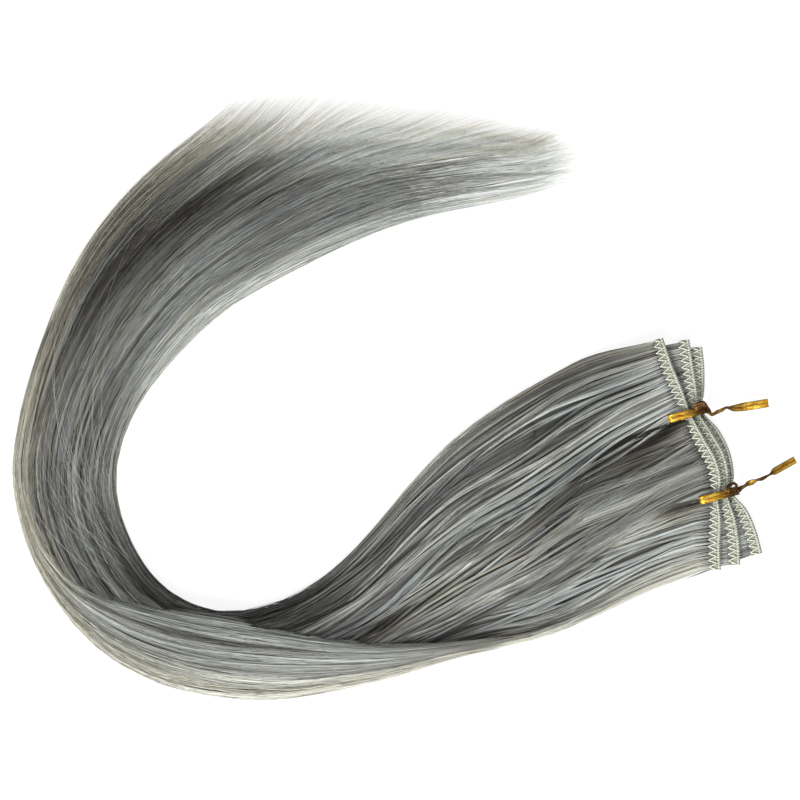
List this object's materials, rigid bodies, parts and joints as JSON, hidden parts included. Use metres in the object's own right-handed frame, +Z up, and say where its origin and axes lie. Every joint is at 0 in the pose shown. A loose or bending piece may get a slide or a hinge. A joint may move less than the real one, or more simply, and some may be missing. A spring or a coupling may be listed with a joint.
{
  "type": "hair extension",
  "caption": "Straight grey hair weft bundle lying in a hook-shaped curl: stacked sewn tracks gathered by gold twist ties, with the hair drawn into one long tail.",
  "frame": {"origin": "middle of the footprint, on the surface that the bundle lies on", "axes": "+X towards the sewn tracks, +Y towards the side of the hook where the tips lie, +Z up from the surface"},
  "size_m": [0.3135, 0.2399, 0.016],
  "materials": {
    "hair": "satin silver-grey strands",
    "track": "woven sage band with cream zigzag stitching",
    "tie": "creased gold foil"
  },
  "bodies": {
    "root": {"hair_tail": "hair", "weft_track_top": "track", "weft_track_middle": "track", "weft_track_bottom": "track", "twist_tie_upper": "tie", "twist_tie_lower": "tie"}
  },
  "joints": []
}
